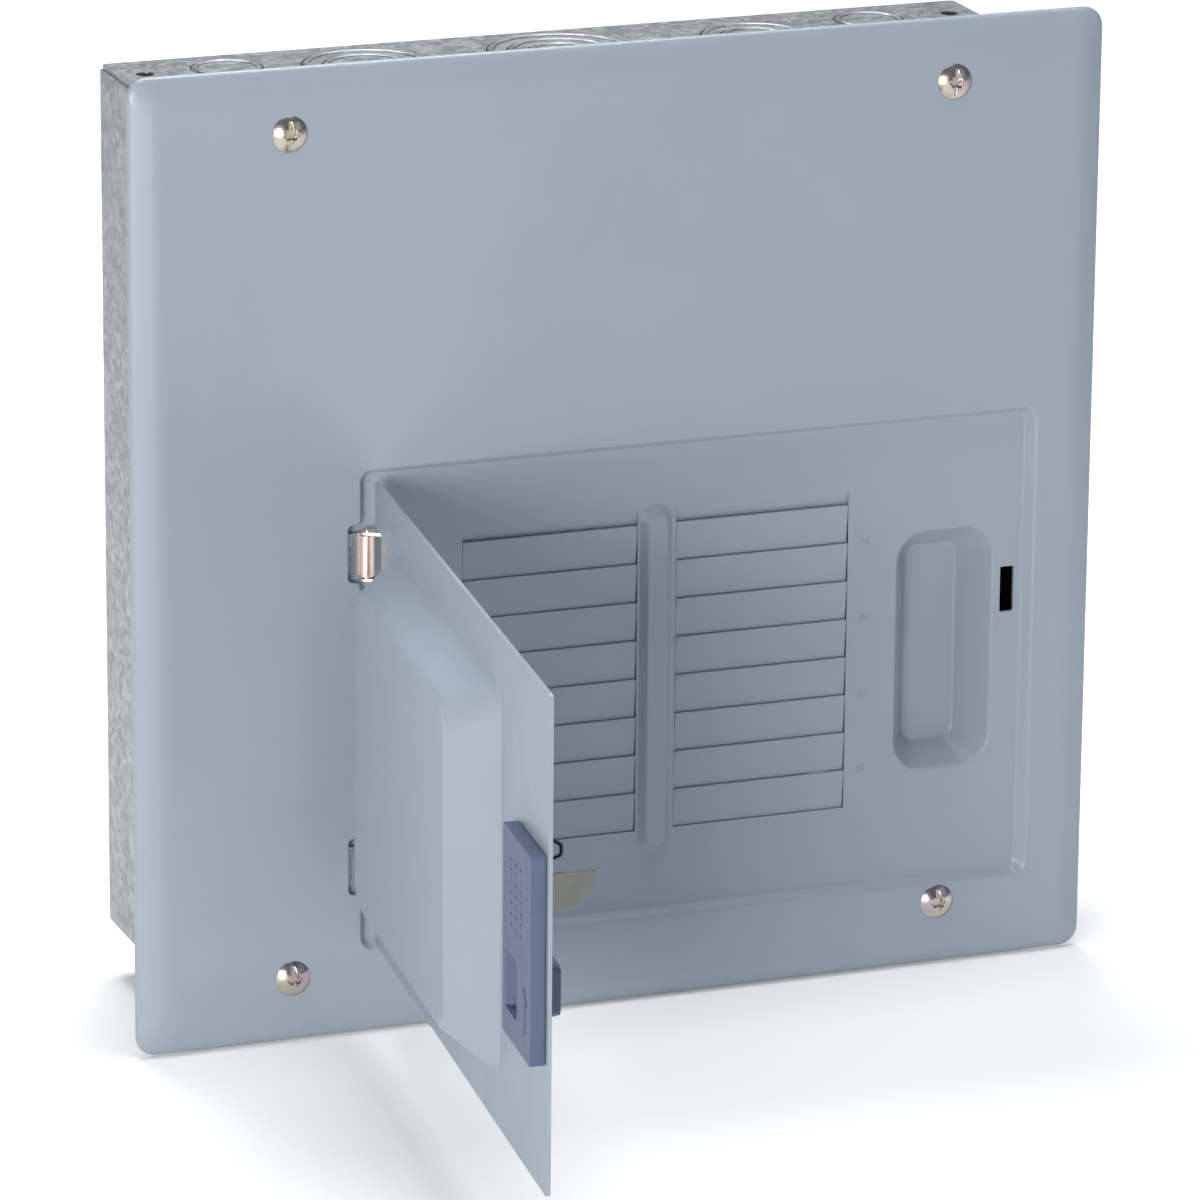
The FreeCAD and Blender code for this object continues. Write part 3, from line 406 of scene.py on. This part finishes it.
# ------------------------------------------------------------------ cover
def recess(t, e):
    x0, x1, z0, z1 = mix(REC, RECF, t)
    x0, x1, z0, z1 = x0 + e, x1 - e, z0 + e, z1 - e
    b = BAY_X + e
    out = 4.0 - t * 0.8 - e
    c = [(x0, z0, out), (x1, z0, out), (x1, z1, out), (x0, z1, out)]
    for hz in HINGES:
        a, d = hz + 9.3 - e, hz - 9.3 + e
        c += [(x0, a, 1.6 + e * 0.8), (b, a, 1.8 - e), (b, d, 1.8 - e), (x0, d, 1.6 + e * 0.8)]
    return outline(c, 6)


cov = Surf()
PROFILE = [(0.0, -79.6), (0.04, -80.2), (0.18, -80.65), (0.5, -81.05), (1.2, -81.5), (2.2, -81.95), (3.5, -82.5), (5.0, -83.07),
           (6.2, -83.5), (7.2, -83.8), (8.2, -84.0), (9.2, -84.12), (10.3, -84.18), (11.6, -84.2)]
_, face_edge = cov.rings([(rrect((-HALF_W, HALF_W, -HALF_H, HALF_H), 6.5 + 0.84 * g if g else 6.5, -g, 10), y) for g, y in PROFILE])
WALL = [(0, -0.6, -84.2), (0.02, -0.34, -84.16), (0.08, -0.12, -84.02), (0.18, 0, -83.78), (0.28, 0, -83.45), (0.85, 0, -81.7), (0.96, 0.06, -81.36),
        (1, 0.22, -81.14), (1, 0.45, -81.03), (1, 0.75, -81.0)]
rec_first, rec_last = cov.rings([(recess(t, e), y) for t, e, y in WALL])
holes = [cov.ring(circle(sx, sz, 2.5), FRONT) for sx, sz, _ in SCREWS]
cov.fill([face_edge, rec_first] + holes)

floor_loops = [rec_last]
# rib between the twistout columns
rib_top = (RIB[0] + 2.4, RIB[1] - 2.4, RIB[2] + 3.0, RIB[3] - 3.0)
rib = [(0, 0.45, -81.0, 5.2), (0, 0.0, -81.06, 5.2), (0.10, 0.0, -81.28, 5.1), (0.55, 0, -82.3, 4.0), (0.86, 0, -83.0, 3.2), (1, 0.12, -83.2, 3.0), (1, -0.5, -83.29, 2.9), (1, -1.2, -83.3, 2.9)]
rf, rl = cov.rings([(rrect(mix(RIB, rib_top, t), r, g, 8), y) for t, g, y, r in rib])
cov.fill([rl])
floor_loops.append(rf)
# pocket behind the latch
pock = [(0, 1.0, -81.0), (0, 0.6, -80.97), (0, 0.25, -80.85), (0.01, 0.04, -80.62), (0.03, 0, -80.3), (0.12, 0, -79.4), (0.92, 0, -69.95), (0.98, 0, -69.4),
        (1, -0.18, -69.15), (1, -0.5, -69.03), (1, -0.9, -69.0)]
pf, pl = cov.rings([(rrect(mix(POCK, POCKF, t), 10.0 + (4.5 - 10.0) * t, g, 9), y) for t, g, y in pock])
cov.fill([pl])
floor_loops.append(pf)
floor_loops.append(cov.ring(rrect(SLOT, 0.5, 0, 3), FLOOR))
# twistout windows, with the sheet led in above the first strip
LEAD = [(6.9, 0.0), (6.2, 0.03), (5.4, 0.13), (4.6, 0.30), (0.93, 1.20)]
for x0, x1 in COLS.values():
    top_l = [cov.pt(x0, FLOOR, z) for z, _ in LEAD]
    top_r = [cov.pt(x1, FLOOR, z) for z, _ in LEAD]
    deep_l = [top_l[0]] + [cov.pt(x0, FLOOR + d, z) for z, d in LEAD[1:]]
    deep_r = [top_r[0]] + [cov.pt(x1, FLOOR + d, z) for z, d in LEAD[1:]]
    bl, br = cov.pt(x0, FLOOR, TW_BOT), cov.pt(x1, FLOOR, TW_BOT)
    for i in range(len(LEAD) - 1):
        cov.f.append((deep_l[i], deep_l[i + 1], deep_r[i + 1], deep_r[i]))
        if i == 0:
            cov.f.append((top_l[0], top_l[1], deep_l[1]))
            cov.f.append((top_r[0], deep_r[1], top_r[1]))
        else:
            cov.f.append((top_l[i], top_l[i + 1], deep_l[i + 1], deep_l[i]))
            cov.f.append((top_r[i], deep_r[i], deep_r[i + 1], top_r[i + 1]))
    floor_loops.append([bl, br] + top_r[::-1] + top_l)
cov.fill(floor_loops)
cover = finish_mesh(cov.build("cover_sheet"), M["paint"], "enclosure", ["cover"], solid=1.2, bevel=0.16, angle=42)


# ------------------------------------------------------------------ twistouts
def twistouts(tag):
    x0, x1 = COLS[tag]
    s = Surf()
    for k in range(TW_ROWS):
        z1 = TW_TOP - TW_PITCH * k - 0.03
        z0 = TW_TOP - TW_PITCH * (k + 1) + 0.03
        a, b = FLOOR - 0.34, FLOOR + 0.72
        xa, xb = x0 + 0.12, x1 - 0.12
        sec = [(a, z1), (a + 0.18, z1 - 1.6), (b - 0.14, z0 + 1.2), (b, z0), (b + 1.1, z0), (b + 1.0, z0 + 1.2), (a + 1.50, z1 - 1.6), (a + 1.52, z1)]
        n = 7
        cols = []
        for i in range(n):
            x = xa + (xb - xa) * i / (n - 1)
            cols.append([s.pt(x, y, z) for y, z in sec])
        for i in range(n - 1):
            p, q = cols[i], cols[i + 1]
            for j in range(len(sec)):
                jj = (j + 1) % len(sec)
                s.f.append((p[j], p[jj], q[jj], q[j]))
        s.f.append(tuple(cols[0][::-1]))
        s.f.append(tuple(cols[-1]))
        # holding webs at the upper corners
        for xe, sgn, size in ((x0, 1, 2.7), (x1, -1, 1.5)):
            w = 0.02 * sgn
            f0 = [(xe - w, FLOOR - 0.02, z1 - size), (xe - w, FLOOR - 0.02, z1 + 0.05), (xe + sgn * size, a - 0.05, z1 + 0.02), (xe + sgn * size * 0.35, a + 0.02, z1 - size * 0.55)]
            if sgn < 0:
                f0 = f0[::-1]
            fi = [s.pt(*p) for p in f0]
            bi = [s.pt(p[0], p[1] + 1.0, p[2]) for p in f0]
            s.f.append(tuple(fi[::-1]))
            s.f.append(tuple(bi))
            for j in range(4):
                jj = (j + 1) % 4
                s.f.append((fi[j], fi[jj], bi[jj], bi[j]))
    o = s.build("twistout_strips_" + tag)
    bm = bmesh.new()
    bm.from_mesh(o.data)
    bmesh.ops.recalc_face_normals(bm, faces=bm.faces)
    bm.to_mesh(o.data)
    bm.free()
    return finish_mesh(o, M["paint"], "enclosure", ["twistouts_" + tag], bevel=0.24, segs=3, angle=30)


twistouts("left")
twistouts("right")


# ------------------------------------------------------------------ circuit numbers, plain raised numerals
def numeral(k):
    col, row = ("right", k // 2 - 1) if k % 2 == 0 else ("left", (k - 1) // 2)
    x = 82.6 if col == "right" else -59.2
    z = -11.9 - 25.4 * row
    cu = bpy.data.curves.new("circuit_%d" % k, "FONT")
    cu.body = str(k)
    cu.size = 4.6 * MM
    cu.extrude = 0.16 * MM
    cu.bevel_depth = 0.06 * MM
    cu.bevel_resolution = 1
    cu.resolution_u = 3
    cu.offset = -0.00002
    cu.align_x, cu.align_y = "CENTER", "CENTER"
    o = bpy.data.objects.new("circuit_number_%d" % k, cu)
    bpy.context.scene.collection.objects.link(o)
    o.matrix_world = Matrix.Translation(Vector((x, FLOOR - 0.02, z)) * MM) @ Matrix.Rotation(PI / 2, 4, "X") @ Matrix.Rotation(-PI / 2, 4, "Z")
    me = bpy.data.meshes.new_from_object(o)
    me.transform(o.matrix_world)
    bpy.data.objects.remove(o)
    o = bpy.data.objects.new("circuit_number_%d" % k, me)
    bpy.context.scene.collection.objects.link(o)
    me.materials.clear()
    me.materials.append(M["paint"])
    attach(o, "enclosure")
    return o


for k in range(1, 9):
    numeral(k)


# ------------------------------------------------------------------ cover screws
def smooth(a, b, x):
    t = min(1.0, max(0.0, (x - a) / (b - a)))
    return t * t * (3 - 2 * t)


def screw(i, sx, sz, turn):
    s = Surf()
    R, H, SR = 5.75, 2.6, 8.6
    nr, na = 46, 112
    a = math.radians(turn)

    def height(px, pz):
        r = math.hypot(px, pz)
        h = math.sqrt(SR * SR - r * r) - math.sqrt(SR * SR - R * R)
        u, v = px * math.cos(a) + pz * math.sin(a), -px * math.sin(a) + pz * math.cos(a)
        slot = (1 - smooth(0.52, 0.72, abs(u))) * (1 - smooth(4.3, 4.7, abs(v)))
        depth = slot * max(0.0, h - 0.95)
        sq = max(abs(u), abs(v))
        well = (1 - smooth(1.25, 1.75, sq)) * max(0.0, h - 0.15)
        cross = (1 - smooth(0.42, 0.62, abs(v))) * (1 - smooth(2.1, 2.5, abs(u))) * max(0.0, h - 1.1)
        edge = smooth(5.35, 5.75, r) * 0.12
        return max(0.02, h - max(depth, well, cross)) - edge * 0.0

    rings = []
    for j in range(nr + 1):
        r = R * (1 - j / nr) ** 0.92
        if j == nr:
            break
        rings.append([s.pt(sx + r * math.cos(2 * PI * q / na), FRONT - height(r * math.cos(2 * PI * q / na), r * math.sin(2 * PI * q / na)),
                           sz + r * math.sin(2 * PI * q / na)) for q in range(na)])
    for p, q in zip(rings, rings[1:]):
        s.bridge(p, q)
    c = s.pt(sx, FRONT - height(0, 0), sz)
    last = rings[-1]
    for q in range(na):
        s.f.append((last[q], last[(q + 1) % na], c))
    # underside of the head and the shank
    under = s.ring(circle(sx, sz, 5.6, na), FRONT + 0.02)
    s.bridge(under, rings[0])
    neck = s.ring(circle(sx, sz, 2.03, na), FRONT + 0.02)
    s.bridge(neck, under)
    prev = neck
    for t in range(1, 12):
        r = 2.03 if t % 2 == 0 else 1.75
        if t == 11:
            r = 0.7
        nx = s.ring(circle(sx, sz, r, na), FRONT + 0.02 + t * 1.12)
        s.bridge(nx, prev)
        prev = nx
    s.f.append(tuple(prev[::-1]))
    o = s.build("cover_screw_%d" % (i + 1))
    return finish_mesh(o, M["zinc_steel"], "enclosure", ["cover_screws"] if i == 0 else [], bevel=0)


for i, p in enumerate(SCREWS):
    screw(i, *p)

# ------------------------------------------------------------------ door
d = Surf()
x0, x1, z0, z1 = DOOR
pts = [(x0, z0, 1.8), (x1, z0, 1.8), (x1, z1, 1.8), (x0, z1, 1.8)]
for hz in HINGES:
    pts += [(x0, hz + 8.9, 0.4), (-77.6, hz + 8.9, 1.2), (-77.6, hz - 8.9, 1.2), (x0, hz - 8.9, 0.4)]
door_edge = d.ring(outline(pts, 5), DOOR_OUT)
dish = [(0, 2.3, -83.6, 9.0), (0, 1.5, -83.66, 9.0), (0, 0.8, -83.86, 9.0), (0, 0.25, -84.25, 9.0), (0.0, 0.0, -84.7, 9.0), (0.05, 0, -85.25, 9.0), (0.45, 0, -90.0, 9.0),
        (0.70, 0, -93.1, 9.0), (0.80, 0, -94.45, 9.0), (0.88, 0, -95.5, 9.0), (0.95, 0, -96.25, 9.0), (1.0, -0.4, -96.75, 9.0), (1, -1.3, -97.02, 9.0), (1, -2.4, -97.1, 9.0)]
df, dl = d.rings([(rrect(mix(EMB, EMBP, t), r, g, 10), y) for t, g, y, r in dish])
d.fill([dl])
win = d.ring(rrect(WIN, 1.5, 0, 5), DOOR_OUT)
slot_pts = outline([(POST[0] - 3.6, POST[1] - 3.6, 3.5), (POST[0] + 3.6, POST[1] - 3.6, 3.5), (POST[0] + 3.6, POST[1] + 6.8, 3.5), (POST[0] - 3.6, POST[1] + 6.8, 3.5)], 8)
d.fill([door_edge, df, win, d.ring(slot_pts, DOOR_OUT)] + [d.ring(circle(-73.5, hz + dz, 1.5, 24), DOOR_OUT) for hz in HINGES for dz in (-4.2, 4.2)])
door = finish_mesh(d.build("door_sheet", to_rest), M["paint"], "door", ["door_panel"], solid=1.2, bevel=0.16, angle=42)

# ------------------------------------------------------------------ latch
lt = Surf()
cupf = (CUP[0] + 3.2, CUP[1] - 1.0, CUP[2] + 1.5, CUP[3] - 3.5)
f_out = lt.ring(rrect(LATCH, 0.8, 0, 4), LY0)
b_out = lt.ring(rrect(LATCH, 0.8, 0, 4), LY1)
lt.bridge(b_out, f_out)
inner = [(0, 0.0, LY0), (0.12, 0, LY0 + 1.6), (0.9, 0, CUP_END - 1.2), (1, -0.15, CUP_END - 0.35), (1, -0.7, CUP_END)]
cf, cl = lt.rings([(rrect(mix(CUP, cupf, t), 1.2, g, 5), y) for t, g, y in inner])
lt.fill([cl])
arrow = [(125.2, -78.6), (128.6, -78.6), (128.6, -69.8), (130.8, -69.8), (126.9, -64.6), (123.0, -69.8), (125.2, -69.8)]
ab = lt.ring(arrow, LY0)
at = lt.ring(arrow, LY0 - 0.35)
lt.bridge(ab, at)
lt.fill([at])
lt.fill([f_out, cf, ab])
tl = (LY1 - (LY0 + 1.0)) / (CUP_END + 1.2 - (LY0 + 1.0))
oc = [(1, 1.2, CUP_END + 1.2), (tl, 1.2, LY1)]
of_, ol = lt.rings([(rrect(mix(CUP, cupf, t), 1.2, g, 5), y) for t, g, y in oc])
lt.fill([of_], (0, 1, 0))
post_e = lt.ring(circle(POST[0], POST[1], 3.2, 36), DOOR_IN + 0.3)
post_b = lt.ring(circle(POST[0], POST[1], 3.2, 36), LY1)
lt.bridge(post_e, post_b)
lt.fill([post_e], (0, 1, 0))
lt.fill([b_out, ol, post_b], (0, 1, 0))
latch = finish_mesh(lt.build("latch_body", to_rest), M["latch_plastic"], "latch", ["latch_plate"], bevel=0.22, segs=3, angle=35)

# plain grip pips on the latch's face
g = Surf()
for r in range(7):
    for c in range(3):
        cx, cz = 112.0 + 5.4 * c, -31.5 - 3.3 * r
        first, last = g.rings([(circle(cx, cz, rr, 14), yy) for rr, yy in ((1.05, LY0 + 0.05), (1.0, LY0 - 0.12), (0.78, LY0 - 0.28), (0.42, LY0 - 0.36))])
        g.f.append(tuple(last))
finish_mesh(g.build("latch_grip_pips", to_rest), M["latch_plastic"], "latch", bevel=0)

# rolled rims of the knockouts in the top and bottom walls
KO = [(-109.0, -17.5, (11.6,)), (-66.0, -26.5, (20.6, 14.1)), (-1.6, -28.0, (23.9, 17.4, 11.1)), (64.2, -27.0, (17.4, 11.1)), (107.4, -18.0, (11.5,))]
for tag, zw, sgn in (("top", 143.0, 1), ("bottom", -140.0, -1)):
    k = Surf()
    for kx, ky, radii in KO:
        for r in radii:
            r = min(r, 17.4) if sgn < 0 and kx < -60 and len(radii) == 2 else r
            prof = [(r - 0.75, -0.15), (r - 0.85, 0.28), (r - 1.15, 0.50), (r - 1.6, 0.58), (r - 2.1, 0.46), (r - 2.5, 0.22), (r - 2.7, -0.15)]
            rows = [[k.pt(kx + rr * math.cos(2 * PI * q / 96), ky + rr * math.sin(2 * PI * q / 96), zw + sgn * hh) for q in range(96)] for rr, hh in prof]
            for a_, b_ in zip(rows, rows[1:] + rows[:1]):
                k.bridge(a_, b_) if sgn > 0 else k.bridge(b_, a_)
    finish_mesh(k.build("knockout_rims_" + tag), M["galvanised"], "enclosure", bevel=0)

# ------------------------------------------------------------------ carried-over CAD nodes
slot_of = {s["node"]: s["material_slot"] for s in frame["record"]["subparts"]}
replaced = {"cover", "twistouts_left", "twistouts_right", "cover_screws", "door_panel", "latch_plate"}
WIDE = {"hinge_leaf_cover_upper", "hinge_leaf_cover_lower", "hinge_leaf_door_upper", "hinge_leaf_door_lower", "hinge_pin_upper", "hinge_pin_lower"}
for name, o in frame["nodes"].items():
    if name in replaced:
        continue
    mat = M["hinge_leaf"] if name.startswith("hinge_leaf_cover") else M["hinge"] if name in WIDE else M[slot_of[name]]
    finish_mesh(o, mat, None, bevel=0.12, segs=2, angle=35, weld=True)

# ------------------------------------------------------------------ floor, light, camera
fm, nt, b, co = new_mat("floor_white")
nt.links.new(ramp(nt, noise(nt, co, 3.0, 2.0), [(0.3, (0.93, 0.93, 0.93)), (0.7, (0.95, 0.95, 0.95))]), b.inputs["Base Color"])
b.inputs["Roughness"].default_value = 0.9
b.inputs["Specular IOR Level"].default_value = 0.1
b.inputs["Emission Color"].default_value = (1, 1, 1, 1)
sp = nt.nodes.new("ShaderNodeSeparateXYZ")
nt.links.new(co, sp.inputs["Vector"])
mr = nt.nodes.new("ShaderNodeMapRange")
mr.inputs["From Min"].default_value = -0.1
mr.inputs["From Max"].default_value = 0.9
mr.inputs["To Min"].default_value = 0.12
mr.inputs["To Max"].default_value = 0.62
nt.links.new(sp.outputs["Y"], mr.inputs["Value"])
nt.links.new(mr.outputs["Result"], b.inputs["Emission Strength"])
me = bpy.data.meshes.new("studio_floor")
bm = bmesh.new()
S = 14.0
zf = lo0.z - 0.0004
vs = [bm.verts.new(p) for p in ((-S, -S, zf), (S, -S, zf), (S, S, zf), (-S, S, zf))]
bm.faces.new(vs)
bm.to_mesh(me)
bm.free()
floor = bpy.data.objects.new("studio_floor", me)
me.materials.append(fm)
bpy.context.scene.collection.objects.link(floor)

world = bpy.data.worlds.new("studio")
bpy.context.scene.world = world
world.use_nodes = True
bg = world.node_tree.nodes.get("Background") or world.node_tree.nodes.new("ShaderNodeBackground")
bg.inputs["Color"].default_value = (0.72, 0.86, 1.0, 1)
bg.inputs["Strength"].default_value = 0.22


def area(name, loc, target, size, power, color=(1, 1, 1)):
    ld = bpy.data.lights.new(name, "AREA")
    ld.shape = "RECTANGLE"
    ld.size, ld.size_y = size
    ld.energy = power
    ld.color = color
    lo = bpy.data.objects.new(name, ld)
    bpy.context.scene.collection.objects.link(lo)
    lo.location = loc
    lo.rotation_mode = "QUATERNION"
    lo.rotation_quaternion = (Vector(target) - Vector(loc)).to_track_quat("-Z", "Y")
    lo.visible_camera = False
    return lo


area("key", (-1.58, -2.02, 0.18), (0, -0.12, -0.02), (0.9, 0.9), 60, (1.0, 0.950, 0.885))
area("fill", (1.7, -1.7, 0.9), (0, -0.08, 0), (1.3, 1.3), 2.5, (0.80, 0.90, 1.0))
area("top", (0.0, -0.28, 2.0), (0, -0.06, 0), (1.5, 0.9), 26)
area("back", (0.0, 0.28, 0.80), (0, 0.02, 0.14), (0.6, 0.3), 7)

cd = bpy.data.cameras.new("camera")
cam = bpy.data.objects.new("camera", cd)
bpy.context.scene.collection.objects.link(cam)
cd.sensor_width = 36
cd.lens = 225.184
cd.clip_start, cd.clip_end = 0.05, 100
cam.matrix_world = Matrix(((0.9354398, 0.0963012, -0.3401155, -0.811705),
                           (-0.3533909, 0.2771121, -0.8934897, -2.194255),
                           (0.008206, 0.9559995, 0.2932536, 0.67132),
                           (0, 0, 0, 1)))
bpy.context.scene.camera = cam
bpy.context.scene.view_settings.view_transform = "Standard"
bpy.context.scene.view_settings.look = "None"
bpy.context.scene.view_settings.exposure = 0.0
